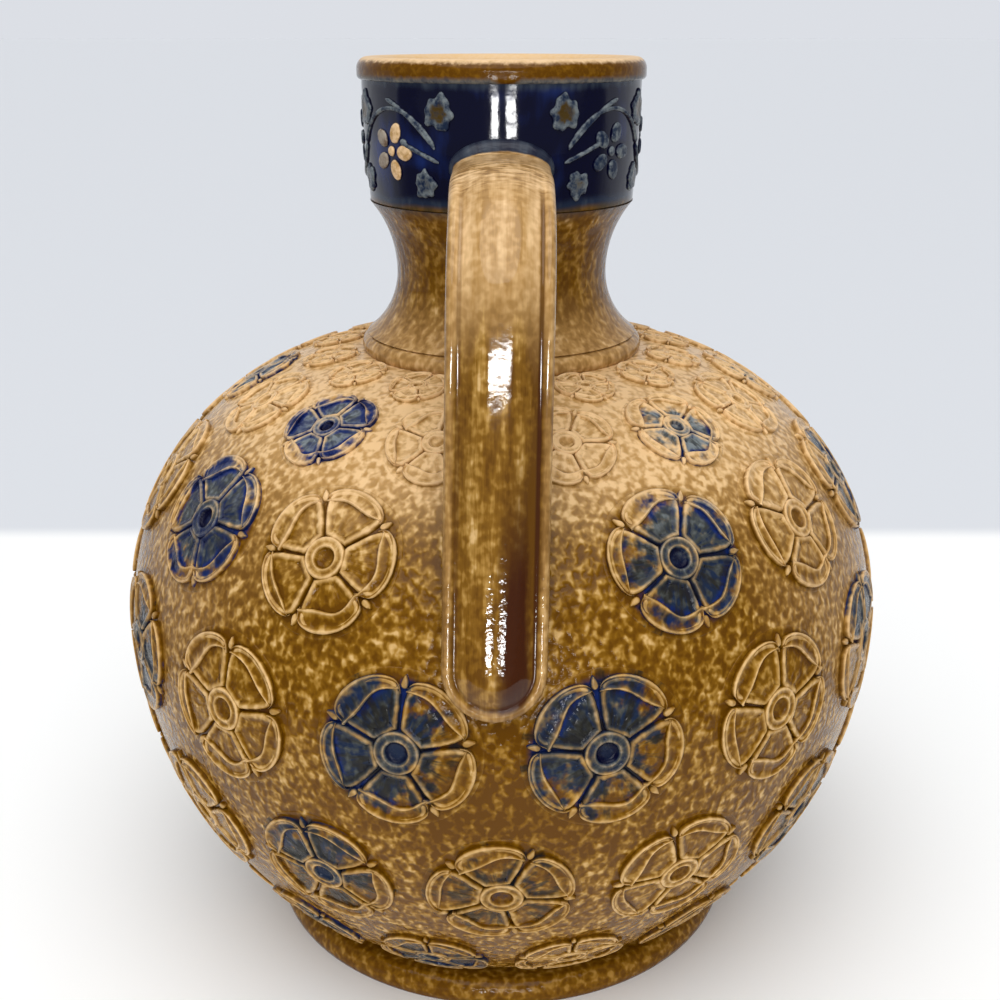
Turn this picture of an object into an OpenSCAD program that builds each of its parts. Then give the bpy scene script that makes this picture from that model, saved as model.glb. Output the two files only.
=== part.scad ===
// Salt-glazed stoneware jug: a thrown globular body covered in applied rosettes, a waisted neck with a
// blue collar band, a strap handle and a bearded mask luted to the front of the neck.
// The origin is the centre of the foot's underside, the handle points to -Y and the mask to +Y.

/* [Body] */
// Widest diameter of the plain body, without the rosettes
body_d = 207; // [200:1:214]
// Height of the widest point above the ground
body_z = 94; // [90:1:98]
// Profile radius of the belly, below the widest point
belly_r = 111; // [108:1:116]
// Profile radius of the shoulder, above the widest point
shoulder_r = 71.5; // [70:0.5:74]
// Wall of the thrown body
wall = 6; // [4:0.5:7]
// Thickness of the floor
floor_t = 7; // [5:0.5:10]
// Width of the flat that is trimmed on the shoulder round the neck's ring
seat_lip = 2.6; // [1.5:0.1:4]

/* [Foot] */
// How far the foot band stands out past the bottom of the body
foot_out = 7; // [5:0.5:9]
// How far the foot band reaches in under the body
foot_lap = 5.5; // [4:0.5:12]
// Height of the foot band
foot_h = 7; // [5:0.5:9]
// Radius of the foot band's rounded edge
foot_edge_r = 5; // [4.6:0.1:7]
// Height of the foot band's widest point
foot_edge_z = 2.6; // [2:0.1:4]

/* [Neck] */
// Narrowest diameter of the neck
neck_d = 55.8; // [52:0.2:60]
// Height from the shoulder to the narrowest point
neck_rise = 21; // [20.4:0.1:23]
// Height from the narrowest point to the collar
neck_top = 18.5; // [16:0.5:22]
// Profile radius below the narrowest point
neck_low_r = 20; // [19:0.5:20]
// Profile radius above the narrowest point
neck_up_r = 29; // [26:0.5:36]
// Wall of the neck
neck_wall = 5.5; // [4:0.5:6.5]
// Diameter of the ring at the neck's base
neck_ring_d = 75.6; // [74:0.2:78]
// Radius of that ring's rounded edge
neck_ring_r = 3; // [2.8:0.1:4]

/* [Collar and rim] */
// Diameter of the collar band
collar_d = 71.8; // [70:0.2:73.6]
// Diameter at the collar's lower edge
collar_low_d = 68.8; // [67:0.2:71]
// Height of the collar
collar_h = 30; // [28:0.5:34]
// Height of the tapered lower part of the collar
collar_taper_h = 13.5; // [10:0.5:16]
// Wall of the collar
collar_wall = 4.5; // [3.5:0.5:6]
// Diameter of the lip
rim_d = 74; // [72.4:0.2:76]
// Height of the lip
rim_h = 5.5; // [4.5:0.5:7]
// Radius of the lip's crown
rim_crown_r = 3.6; // [3.4:0.1:5]

/* [Handle] */
// Width of the strap
strap_w = 22.8; // [20:0.2:25]
// Thickness of the strap
strap_t = 9; // [8:0.5:10]
// Radius of the strap's crowned outer face
strap_crown_r = 14; // [12:0.5:20]
// Radius of the bead along each edge of the strap
bead_r = 2.4; // [2:0.1:2.8]
// How far the beads lie inside the middle of the strap's thickness
bead_drop = 0.3; // [0:0.1:0.8]
// Radius of the bend, at the middle of the strap
bend_r = 29; // [26:0.5:32]
// Distance from the jug's axis to the middle of the bend
bend_y = 58; // [55:0.5:62]
// Depth of the strap's middle below the lip's top
strap_drop = 25; // [23:0.5:27]
// How far the strap turns, from level to its slope down the body
bend_turn = 78; // [76:0.5:80]
// Length of the straight part, down to the centre of the round end
tail_l = 76; // [70:1:82]

/* [Rosettes] */
// Rosettes round each row
row_n = 14; // [12:1:14]
// Place of each row, top row first: its share of the way from the widest point to the neck or to the foot
row_place = [0.937, 0.733, 0.42, 0.03, -0.378, -0.756]; // [-0.8:0.001:0.95]
// Diameter of the rosettes in each row, top row first
rosette_d = [15.5, 25, 34.5, 37, 36, 29]; // [12:0.5:38]
// Height of the rims and the centre above the body
rosette_t = 1.4; // [1:0.1:2]
// Width of the rim round each petal, as a share of the rosette's radius
petal_rim = 0.1; // [0.07:0.01:0.13]
// Half the width of a sepal, as a share of the rosette's radius
sepal_w = 0.16; // [0.12:0.01:0.2]
// How far the tip of a sepal reaches, as a share of the rosette's radius
sepal_reach = 0.97; // [0.92:0.01:1]
// Radius of the boss in the centre, as a share of the rosette's radius
boss_r = 0.27; // [0.22:0.01:0.3]
// Radius of the hole in that boss, as a share of the rosette's radius
eye_r = 0.13; // [0.08:0.01:0.15]
// Clearance between the ornament and the handle
ornament_gap = 0.3; // [0.1:0.1:1]

/* [Collar ornament] */
// Flowers round the collar, each under or over an arch of the vine
flower_n = 7; // [5:2:7]
// Angle from the handle to the first flower on each side
flower_angle = 48.5; // [46:0.5:52]
// Height of each arch of the vine
vine_rise = 9; // [7:0.5:10]
// Width of the stem
stem_w = 1.2; // [0.8:0.1:2]
// Height of the vine above the collar
vine_t = 0.7; // [0.4:0.1:1.2]
// Length of a petal
petal_l = 5; // [4:0.1:5.4]
// Width of a petal
petal_w = 3.6; // [2.8:0.1:3.8]
// Distance from a flower's centre to the middle of its petals
petal_reach = 4.6; // [4.4:0.1:5]
// Radius of one lobe of a leaf
leaf_r = 1.7; // [1.2:0.1:2]
// How far a leaf leans away from upright
leaf_turn = 30; // [0:5:40]

/* [Mask] */
// Width of the mask
mask_w = 30; // [26:0.5:34]
// Height of the mask
mask_h = 31; // [28:0.5:32]
// How far the face stands out from the neck's narrowest point
mask_t = 7.5; // [6:0.5:9]
// Thickness of the mask's edge
mask_edge = 0.5; // [0.3:0.1:1]
// Layer of slip between the mask and the neck
slip_t = 0.15; // [0.1:0.05:0.3]

/* [Hidden] */
$fn = 96;

body_r = body_d / 2;
// Distance from the axis to the middle of the shoulder's profile, and the flat on it
shoulder_x = body_r - shoulder_r;
seat_r = neck_ring_d / 2 + seat_lip;
seat_angle = acos((seat_r - shoulder_x) / shoulder_r);
seat_z = body_z + shoulder_r * sin(seat_angle);
// Bottom of the body, where the foot band carries it
base_angle = asin((body_z - foot_h) / belly_r);
base_r = body_r - belly_r * (1 - cos(base_angle));
foot_r = base_r + foot_out;
neck_z = seat_z + neck_rise;
collar_z = neck_z + neck_top;
rim_z = collar_z + collar_h;
jug_h = rim_z + rim_h;
neck_r = neck_d / 2;
low_x = neck_r + neck_low_r;
up_x = neck_r + neck_up_r;
collar_r = collar_d / 2;
strap_z = jug_h - strap_drop;
row_step = 360 / row_n;
flower_step = (360 - 2 * flower_angle) / (flower_n - 1);
petal_step = 72;
vine_z = collar_z + collar_h / 2;
// More than any ornament stands out, so that a prism or a cutter passes right through it
past = 6;

tan_glaze = "#b58a55";
brown_glaze = "#8a6332";
cobalt_glaze = "#2f4a86";
pale_glaze = "#c9b58f";

// Radius of an arc of the neck at height z, for a centre at x and a profile radius r
function arc_x(x, r, z) = x - sqrt(r * r - (z - neck_z) * (z - neck_z));
// Outer radius of the neck at height z
function neck_x(z) = z < neck_z ? arc_x(low_x, neck_low_r, z) : arc_x(up_x, neck_up_r, z);
// Radius of the way in, where the inside of the neck meets the shoulder and the collar
mouth_r = arc_x(low_x, neck_low_r + neck_wall, seat_z);
throat_r = arc_x(up_x, neck_up_r + neck_wall, collar_z);

// Half of the body's outline, filled to the axis, grown by a distance and cut flat at a height
module body_outline(grow = 0, top = seat_z) {
    intersection() {
        translate([body_r - belly_r, body_z]) circle(belly_r + grow);
        translate([0, foot_h]) square([body_r + past, body_z - foot_h]);
    }
    intersection() {
        union() {
            translate([shoulder_x, body_z]) circle(shoulder_r + grow);
            translate([0, body_z]) square([shoulder_x, shoulder_r + grow]);
        }
        translate([0, body_z]) square([body_r + past, top - body_z]);
    }
}

module body() {
    color(brown_glaze) rotate_extrude() difference() {
        body_outline();
        intersection() {
            body_outline(-wall);
            translate([0, foot_h + floor_t]) square([body_r, seat_z]);
        }
        translate([0, body_z]) square([mouth_r, shoulder_r]);
    }
}

module foot_ring() {
    color(brown_glaze) rotate_extrude() intersection() {
        union() {
            translate([foot_r - foot_edge_r, foot_edge_z]) circle(foot_edge_r);
            square([foot_r - foot_edge_r, foot_h]);
        }
        translate([base_r - foot_lap, 0]) square([foot_r, foot_h]);
    }
}

module neck() {
    color(brown_glaze) rotate_extrude() {
        // Waist above the narrowest point
        intersection() {
            difference() {
                translate([up_x, neck_z]) circle(neck_up_r + neck_wall);
                translate([up_x, neck_z]) circle(neck_up_r);
            }
            translate([0, neck_z]) square([up_x, neck_top]);
        }
        // Waist below it, spreading to the ring that stands on the shoulder
        difference() {
            intersection() {
                translate([low_x, neck_z]) circle(neck_low_r + neck_wall);
                union() {
                    translate([0, seat_z]) square([neck_ring_d / 2 - neck_ring_r, neck_rise]);
                    translate([neck_ring_d / 2 - neck_ring_r, seat_z + neck_ring_r / 2]) circle(neck_ring_r);
                }
                translate([0, seat_z]) square([low_x, neck_rise]);
            }
            translate([low_x, neck_z]) circle(neck_low_r);
        }
    }
}

// Half of the collar's outer outline, filled to the axis and grown by a distance
module collar_outline(grow = 0) {
    polygon([
        [0, collar_z],
        [collar_low_d / 2 + grow, collar_z],
        [collar_r + grow, collar_z + collar_taper_h],
        [collar_r + grow, rim_z],
        [0, rim_z]
    ]);
}

module collar() {
    color(cobalt_glaze) rotate_extrude() difference() {
        collar_outline();
        polygon([
            [0, collar_z],
            [throat_r, collar_z],
            [collar_r - collar_wall, collar_z + collar_taper_h],
            [collar_r - collar_wall, rim_z],
            [0, rim_z]
        ]);
    }
}

module rim() {
    rim_in = collar_r - collar_wall;
    rim_mid = (rim_in + rim_d / 2) / 2;
    crown_z = jug_h - rim_crown_r;
    color(tan_glaze) rotate_extrude() intersection() {
        union() {
            translate([rim_mid, crown_z]) circle(rim_crown_r);
            translate([0, rim_z]) square([rim_d, crown_z - rim_z]);
        }
        translate([rim_in, rim_z]) square([rim_d / 2 - rim_in, rim_h]);
    }
}

// Section of the strap: across its width in x, and outwards through its thickness in y
module strap_section() {
    bead_x = strap_w / 2 - bead_r;
    intersection() {
        translate([-bead_x, -strap_t / 2]) square([2 * bead_x, strap_t]);
        translate([0, strap_t / 2 - strap_crown_r]) circle(strap_crown_r);
    }
    for (side = [-1, 1])
        translate([side * bead_x, -bead_drop]) circle(bead_r);
}

// Places its children on the strap's bend: x towards the jug, y up, z across the strap
module at_bend() {
    translate([0, -bend_y, strap_z - bend_r]) rotate([90, 0, 90]) children();
}

// Straight tail of the strap, with a bead that runs round its end
module strap_tail() {
    translate([0, bend_r, 0]) {
        rotate([0, -90, 0]) linear_extrude(tail_l) strap_section();
        translate([-tail_l, 0, 0]) rotate([-90, 0, 0]) rotate([0, 0, 90])
            rotate_extrude(angle = 180) intersection() {
                strap_section();
                translate([0, -strap_t]) square([strap_w, 2 * strap_t]);
            }
    }
}

module handle() {
    color(tan_glaze) difference() {
        at_bend() {
            translate([bend_y - neck_r, bend_r, 0]) rotate([0, -90, 0])
                linear_extrude(bend_y - neck_r) strap_section();
            rotate([0, 0, 90]) rotate_extrude(angle = bend_turn)
                translate([bend_r, 0]) rotate([0, 0, -90]) strap_section();
            rotate([0, 0, bend_turn]) strap_tail();
        }
        rotate_extrude() body_outline();
        rotate_extrude() collar_outline();
    }
}

// Room that the tail of the handle takes up on the body, with a clearance all round
module tail_room() {
    at_bend() rotate([0, 0, bend_turn]) translate([-tail_l, bend_r, 0]) rotate([90, 0, 0])
        translate([0, 0, -past]) linear_extrude(3 * past) {
            circle(strap_w / 2 + ornament_gap);
            translate([0, -strap_w / 2 - ornament_gap]) square([tail_l, strap_w + 2 * ornament_gap]);
        }
}

// Outline of a rosette: the tip of a sepal points up, and another is in each notch between the five petals
module rosette_outline(r) {
    notch = r * cos(petal_step / 2);
    sepal_x = r * sepal_w;
    for (sepal = [0:4]) rotate(petal_step * sepal) {
        polygon([[-sepal_x, notch - sepal_x], [sepal_x, notch - sepal_x], [0, r * sepal_reach]]);
        rotate(petal_step / 2) translate([0, r / 2]) circle(r / 2);
    }
}

// Hollows of a rosette: the inside of each petal, and the hole in the centre
module rosette_hollows(r) {
    // The ribs between the petals taper outwards, from the boss to the width of a rim
    spread = r * tan(petal_step / 2) - r * petal_rim / 2 / cos(petal_step / 2);
    for (petal = [0:4]) rotate(petal_step * (petal + 0.5)) intersection() {
        translate([0, r / 2]) circle(r / 2 - r * petal_rim);
        polygon([[0, r * boss_r], [spread, r], [-spread, r]]);
    }
    circle(r * eye_r);
}

// Profile radius of the body at a row, and the row's angle up that profile, distance from the axis and height
function row_profile_r(row) = row_place[row] > 0 ? shoulder_r : belly_r;
function row_angle(row) = row_place[row] * (row_place[row] > 0 ? seat_angle : base_angle);
function row_x(row) = body_r - row_profile_r(row) * (1 - cos(row_angle(row)));
function row_z(row) = body_z + row_profile_r(row) * sin(row_angle(row));

// Prism through the skin of the body at one place of a row, with y up the profile
module on_row(row, place) {
    rotate([0, 0, place * row_step]) translate([0, -row_x(row), row_z(row)])
        rotate([90 - row_angle(row), 0, 0]) translate([0, 0, -past]) linear_extrude(2 * past) children();
}

// Skin over the body as thick as a rosette, along the height of a row
module row_skin(row) {
    reach = rosette_d[row] / 2 + past;
    rotate_extrude() intersection() {
        difference() {
            body_outline(rosette_t, seat_z + past);
            body_outline();
        }
        translate([0, max(row_z(row) - reach, foot_h)]) square([body_r + past, 2 * reach]);
    }
}

// Rosettes at the given places of a row, as separate sprigs that follow the body's curve
module rosettes(row, places) {
    intersection() {
        row_skin(row);
        for (place = places) difference() {
            on_row(row, place) difference() {
                rosette_outline(rosette_d[row] / 2);
                rosette_hollows(rosette_d[row] / 2);
            }
            // The two beside the end of the handle keep clear of it
            if (row == 3 && steps_away(place) < 1) tail_room();
        }
    }
}

// Places round a row, counted from the handle. Odd rows have a rosette on the handle's line, and even rows
// have one on each side of it. The handle's end takes the place on its line in the third row.
function row_places(row) = [for (i = [0:row_n - 1]) if (!(row == 2 && i == 0)) row % 2 == 0 ? i : i + 0.5];
// How far round from the handle a place is, the shorter way, and whether that is to its left
function steps_away(place) = min(place, row_n - place);
function on_left(place) = place > row_n / 2;
// Whether the rosette at a place is painted with cobalt: every other one, counted from the handle
function painted(row, place) =
    row == 0 ? false
    : row == 1 ? floor(steps_away(place)) % 2 == 1
    : row == 3 ? floor(steps_away(place)) % 2 == 0
    : row == 5 ? !(place == 0.5 || floor(steps_away(place)) % 3 == 2)
    : (steps_away(place) % 2 == (row == 2 ? 1 : 0)) != on_left(place);
function chosen(row, cobalt) = [for (p = row_places(row)) if (painted(row, p) == cobalt) p];

// Part of a skin over the collar's outer face
module collar_skin() {
    rotate_extrude() difference() {
        collar_outline(vine_t);
        collar_outline();
    }
}

// Prisms of a flat pattern that cross the collar's wall at an angle round it from the handle
module on_collar(angle) {
    rotate([0, 0, angle]) translate([0, -collar_r, vine_z]) rotate([90, 0, 0])
        translate([0, 0, -past]) linear_extrude(2 * past) children();
}

// Room that the top of the handle takes up on the collar, with a clearance all round
module strap_room() {
    side = strap_w / 2 + ornament_gap;
    translate([-side, -collar_r - past, collar_z])
        cube([2 * side, 2 * past, strap_z + strap_t / 2 + ornament_gap - collar_z]);
}

// One arch of the vine, upright or hanging, from one crossing of the middle line to the next
module vine_arch() {
    half = collar_r * sin(flower_step / 2);
    arch_r = (half * half + vine_rise * vine_rise) / (2 * vine_rise);
    intersection() {
        translate([0, vine_rise - arch_r]) difference() {
            circle(arch_r + stem_w / 2);
            circle(arch_r - stem_w / 2);
        }
        translate([-half + stem_w / 4, -stem_w]) square([2 * half - stem_w / 2, 2 * vine_rise]);
    }
}

// Places its children at a flower, or between two, counted from the handle
module at_flower(i) {
    on_collar(flower_angle + i * flower_step) children();
}

module collar_vine() {
    color(pale_glaze) intersection() {
        collar_skin();
        for (i = [0:flower_n - 1])
            at_flower(i) mirror([0, i % 2]) vine_arch();
    }
}

// Flower of five separate petals round a dot, each petal where two arcs cross
module flower() {
    lobe_r = (petal_l * petal_l + petal_w * petal_w) / (4 * petal_w);
    for (petal = [0:4]) rotate(petal_step * petal) translate([0, petal_reach]) intersection() {
        translate([lobe_r - petal_w / 2, 0]) circle(lobe_r);
        translate([petal_w / 2 - lobe_r, 0]) circle(lobe_r);
    }
    circle(petal_reach - petal_l / 2 - stem_w / 2);
}

module collar_flowers() {
    color(pale_glaze) intersection() {
        collar_skin();
        for (i = [0:flower_n - 1])
            at_flower(i) translate([0, (i % 2 == 0 ? -1 : 1) * stem_w]) flower();
    }
}

// Leaf of three lobes on a short stalk
module leaf() {
    for (turn = [-60, 0, 60]) rotate(turn) translate([0, leaf_r]) circle(leaf_r);
    translate([-stem_w / 2, -2 * leaf_r]) square([stem_w, 2 * leaf_r]);
}

module collar_leaves() {
    leaf_z = vine_rise - leaf_r;
    color(pale_glaze) difference() {
        intersection() {
            collar_skin();
            for (i = [0:flower_n], side = [-1, 1])
                at_flower(i - 0.5) translate([0, side * leaf_z])
                    rotate(side * (i % 2 == 0 ? 1 : -1) * leaf_turn) mirror([0, side < 0 ? 1 : 0]) leaf();
        }
        strap_room();
    }
}

// One soft swelling of the mask, of height h at x, y, and of half-widths a and b
function swell(x, y, cx, cy, a, b, h) =
    h * exp(-((x - cx) / a) * ((x - cx) / a) - ((y - cy) / b) * ((y - cy) / b));
// A swelling on each side of the face
function pair(x, y, cx, cy, a, b, h) = swell(abs(x), y, cx, cy, a, b, h);
// How far the face stands out at x and y, both measured from its middle in shares of its half-width
function face_out(x, y) =
    swell(x, y, 0, 0.55, 0.55, 0.3, 0.12)
    + pair(x, y, 0.3, 0.36, 0.22, 0.07, 0.16)
    - pair(x, y, 0.3, 0.2, 0.17, 0.1, 0.16)
    + pair(x, y, 0.3, 0.2, 0.1, 0.06, 0.14)
    + swell(x, y, 0, 0.16, 0.07, 0.22, 0.22)
    + swell(x, y, 0, -0.02, 0.1, 0.08, 0.26)
    + pair(x, y, 0.11, -0.04, 0.06, 0.05, 0.12)
    + pair(x, y, 0.42, -0.04, 0.2, 0.18, 0.12)
    + pair(x, y, 0.2, -0.2, 0.2, 0.06, 0.2)
    - swell(x, y, 0, -0.28, 0.16, 0.025, 0.08)
    + swell(x, y, 0, -0.34, 0.12, 0.04, 0.12)
    + swell(x, y, 0, -0.68, 0.5, 0.34, 0.2) * (1 + 0.22 * cos(900 * x + 90 * y))
    + pair(x, y, 0.78, -0.2, 0.14, 0.5, 0.14) * (1 + 0.25 * cos(700 * y));

// Outer radius of the mask at a share of the way to its edge and at a turn round its middle
function mask_x(share, turn) =
    let (
        x = share * cos(turn),
        y = share * sin(turn),
        z = neck_z + mask_h / 2 * y,
        dome = neck_r + mask_t * sqrt(1 - share * share) + mask_t * face_out(x, y) * (1 - pow(share, 6))
    )
    max(dome, neck_x(z) + slip_t + mask_edge);

// Point at a radius from the jug's axis, on the front of the neck
function mask_point(share, turn, radius) =
    let (across = asin(mask_w / 2 * share * cos(turn) / neck_r))
    [radius * sin(across), radius * cos(across), neck_z + mask_h / 2 * share * sin(turn)];

module mask() {
    rings = 16;
    turns = 48;
    shares = [for (i = [1:rings]) i / rings];
    steps = [for (j = [0:turns - 1]) 360 * j / turns];
    back_x = function (share, turn) neck_x(neck_z + mask_h / 2 * share * sin(turn)) + slip_t;
    front = [for (s = shares, t = steps) mask_point(s, t, mask_x(s, t))];
    back = [for (s = shares, t = steps) mask_point(s, t, back_x(s, t))];
    middle = [mask_point(0, 0, mask_x(0, 0)), mask_point(0, 0, back_x(0, 0))];
    n = rings * turns;
    last = (rings - 1) * turns;
    after = function (j) (j + 1) % turns;
    color(tan_glaze) polyhedron(
        points = concat(front, back, middle),
        faces = concat(
            [for (j = [0:turns - 1]) [2 * n, j, after(j)]],
            [for (j = [0:turns - 1]) [2 * n + 1, n + after(j), n + j]],
            [for (i = [0:rings - 2], j = [0:turns - 1], half = [0, 1])
                half == 0
                ? [i * turns + j, (i + 1) * turns + j, (i + 1) * turns + after(j)]
                : [i * turns + j, (i + 1) * turns + after(j), i * turns + after(j)]],
            [for (i = [0:rings - 2], j = [0:turns - 1], half = [0, 1])
                half == 0
                ? [n + i * turns + j, n + (i + 1) * turns + after(j), n + (i + 1) * turns + j]
                : [n + i * turns + j, n + i * turns + after(j), n + (i + 1) * turns + after(j)]],
            [for (j = [0:turns - 1], half = [0, 1])
                half == 0
                ? [last + j, n + last + j, n + last + after(j)]
                : [last + j, n + last + after(j), last + after(j)]]
        )
    );
}

module plain_rosettes(row) {
    color(tan_glaze) rosettes(row, chosen(row, false));
}

module cobalt_rosettes(row) {
    color(cobalt_glaze) rosettes(row, chosen(row, true));
}

body();
foot_ring();
neck();
collar();
rim();
handle();
mask();
collar_vine();
collar_flowers();
collar_leaves();
plain_rosettes(0);  // rosettes_1_plain
plain_rosettes(1);  // rosettes_2_plain
cobalt_rosettes(1);  // rosettes_2_cobalt
plain_rosettes(2);  // rosettes_3_plain
cobalt_rosettes(2);  // rosettes_3_cobalt
plain_rosettes(3);  // rosettes_4_plain
cobalt_rosettes(3);  // rosettes_4_cobalt
plain_rosettes(4);  // rosettes_5_plain
cobalt_rosettes(4);  // rosettes_5_cobalt
plain_rosettes(5);  // rosettes_6_plain
cobalt_rosettes(5);  // rosettes_6_cobalt
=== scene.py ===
import math

import bmesh
import bpy
import numpy as np
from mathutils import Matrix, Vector


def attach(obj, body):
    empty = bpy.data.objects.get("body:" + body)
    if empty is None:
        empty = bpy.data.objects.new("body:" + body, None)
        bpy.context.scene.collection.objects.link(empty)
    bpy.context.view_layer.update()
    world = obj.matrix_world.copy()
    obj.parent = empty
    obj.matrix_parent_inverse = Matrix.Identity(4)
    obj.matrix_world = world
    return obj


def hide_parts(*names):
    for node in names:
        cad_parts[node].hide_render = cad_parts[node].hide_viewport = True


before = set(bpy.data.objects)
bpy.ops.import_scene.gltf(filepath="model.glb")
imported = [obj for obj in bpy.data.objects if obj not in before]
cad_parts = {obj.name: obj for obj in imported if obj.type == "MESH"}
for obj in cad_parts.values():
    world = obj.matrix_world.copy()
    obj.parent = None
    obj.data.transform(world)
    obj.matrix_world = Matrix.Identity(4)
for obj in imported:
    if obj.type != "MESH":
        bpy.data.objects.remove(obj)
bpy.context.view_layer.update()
tau = 2 * math.pi
rng = np.random.default_rng(41)
print("frame loaded")

# Sizes of the jug in metres, the same as its solids have
jug = dict(bodyR=0.1035, bodyZ=0.094, bellyR=0.111, shoulderR=0.0715, wall=0.006, floorT=0.007, footH=0.007,
           footOut=0.007, footLap=0.0055, seatLip=0.0026, ringR=0.0378, neckR=0.0279, neckRise=0.021,
           neckTop=0.0185, neckLowR=0.020, neckUpR=0.029, neckWall=0.0055, collarR=0.0359, collarLowR=0.0344,
           collarH=0.030, taperH=0.0135, collarWall=0.0045, rimR=0.037, rimH=0.0055)
bellyX = jug["bodyR"] - jug["bellyR"]
shoulderX = jug["bodyR"] - jug["shoulderR"]
seatAngle = math.acos((jug["ringR"] + jug["seatLip"] - shoulderX) / jug["shoulderR"])
baseAngle = math.asin((jug["bodyZ"] - jug["footH"]) / jug["bellyR"])
seatZ = jug["bodyZ"] + jug["shoulderR"] * math.sin(seatAngle)
baseR = bellyX + jug["bellyR"] * math.cos(baseAngle)
neckZ = seatZ + jug["neckRise"]
collarZ = neckZ + jug["neckTop"]
rimZ = collarZ + jug["collarH"]
topZ = rimZ + jug["rimH"]
lowX = jug["neckR"] + jug["neckLowR"]
upX = jug["neckR"] + jug["neckUpR"]


class Value:
    def __init__(self, tree, socket):
        self.tree, self.socket = tree, socket

    def calc(self, operation, a, b=0.0):
        return self.tree.add("ShaderNodeMath", {"operation": operation}, {0: a, 1: b})

    def __add__(self, other):
        return self.calc("ADD", self, other)

    def __radd__(self, other):
        return self.calc("ADD", other, self)

    def __sub__(self, other):
        return self.calc("SUBTRACT", self, other)

    def __rsub__(self, other):
        return self.calc("SUBTRACT", other, self)

    def __mul__(self, other):
        return self.calc("MULTIPLY", self, other)

    def __rmul__(self, other):
        return self.calc("MULTIPLY", other, self)

    def __truediv__(self, other):
        return self.calc("DIVIDE", self, other)

    def __rtruediv__(self, other):
        return self.calc("DIVIDE", other, self)

    def __gt__(self, other):
        return self.calc("GREATER_THAN", self, other)

    def root(self):
        return self.calc("SQRT", self)

    def sin(self):
        return self.calc("SINE", self)

    def cos(self):
        return self.calc("COSINE", self)

    def kept(self):  # held between 0 and 1
        return self.calc("MINIMUM", self.calc("MAXIMUM", self, 0.0), 1.0)

    def ease(self, low, high, start=0.0, end=1.0):  # smooth step from low to high
        return self.tree.add("ShaderNodeMapRange", {"interpolation_type": "SMOOTHSTEP"},
                             {0: self, 1: low, 2: high, 3: start, 4: end})

    def part(self, name):  # another output of the same node
        return Value(self.tree, self.socket.node.outputs[name])


class Tree:
    def __init__(self, nodeTree):
        self.nodeTree = nodeTree

    def add(self, kind, settings=None, inputs=None, out=0):
        node = self.nodeTree.nodes.new(kind)
        for key, setting in (settings or {}).items():
            if key == "stops":
                ramp = node.color_ramp
                while len(ramp.elements) < len(setting):
                    ramp.elements.new(1.0)
                for element, (at, name) in zip(ramp.elements, setting):
                    element.position = at
                    element.color = (*paint[name], 1.0)
            else:
                setattr(node, key, setting)
        for key, value in (inputs or {}).items():
            if isinstance(value, Value):
                self.nodeTree.links.new(value.socket, node.inputs[key])
            else:
                node.inputs[key].default_value = value
        return Value(self, node.outputs[out]) if len(node.outputs) else None

    def mix(self, share, a, b):  # two colours, of which a paint goes by its name
        a, b = (c if isinstance(c, Value) else (*paint.get(c, c), 1.0) for c in (a, b))
        return self.add("ShaderNodeMix", {"data_type": "RGBA"}, {0: share, 6: a, 7: b}, 2)

    def ramp(self, share, *stops):
        return self.add("ShaderNodeValToRGB", {"stops": stops}, {"Fac": share})

    def attribute(self, name):
        return self.add("ShaderNodeAttribute", {"attribute_name": name}, out="Fac")

    def vector(self, x, y, z):
        return self.add("ShaderNodeCombineXYZ", None, {0: x, 1: y, 2: z})

    def stretched(self, where, *scale):
        return self.add("ShaderNodeVectorMath", {"operation": "MULTIPLY"}, {0: where, 1: scale})

    def noise(self, where, scale, detail=2.0, roughness=0.5, out="Fac"):
        return self.add("ShaderNodeTexNoise", None, {"Vector": where, "Scale": scale, "Detail": detail,
                                                     "Roughness": roughness}, out)

    def place(self):
        where = self.add("ShaderNodeTexCoord", out="Object")
        x = self.add("ShaderNodeSeparateXYZ", None, {0: where}, "X")
        return where, x, x.part("Y"), x.part("Z")


def placed(name, data):  # a new object in the scene
    thing = bpy.data.objects.new(name, data)
    bpy.context.scene.collection.objects.link(thing)
    return thing


class Clay:  # collects loops of points into one mesh, with values for each point
    def __init__(self, *keys):
        self.verts, self.faces = [], []
        self.data = {key: [] for key in keys}

    def loop(self, points, **data):
        start = len(self.verts)
        self.verts.extend(np.asarray(points, float).tolist())
        for key in self.data:
            self.data[key].extend(np.broadcast_to(data.get(key, 0.0), len(points)).tolist())
        return list(range(start, start + len(points)))

    def skin(self, a, b, closed=True):
        for i in range(len(a) if closed else len(a) - 1):
            j = (i + 1) % len(a)
            self.faces.append((a[i], a[j], b[j], b[i]))

    def skins(self, loops, closed=True):
        for a, b in zip(loops, loops[1:]):
            self.skin(a, b, closed)

    def fan(self, loop, end):
        for i in range(len(loop)):
            self.faces.append((loop[i], loop[(i + 1) % len(loop)], end))

    def cap(self, loop, point, **data):
        self.fan(loop, self.loop([point], **data)[0])

    def mesh(self, name):
        mesh = bpy.data.meshes.new(name)
        mesh.from_pydata(self.verts, [], self.faces)
        for key, values in self.data.items():
            mesh.attributes.new(key, "FLOAT", "POINT").data.foreach_set("value", np.float32(values))
        return mesh

    def build(self, name, sharp=40):
        mesh = self.mesh(name)
        welded = bmesh.new()
        welded.from_mesh(mesh)
        bmesh.ops.remove_doubles(welded, verts=welded.verts, dist=1e-7)
        bmesh.ops.recalc_face_normals(welded, faces=welded.faces)
        welded.to_mesh(mesh)
        welded.free()
        mesh.polygons.foreach_set("use_smooth", [True] * len(mesh.polygons))
        mesh.set_sharp_from_angle(angle=math.radians(sharp))
        return placed(name, mesh)


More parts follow.
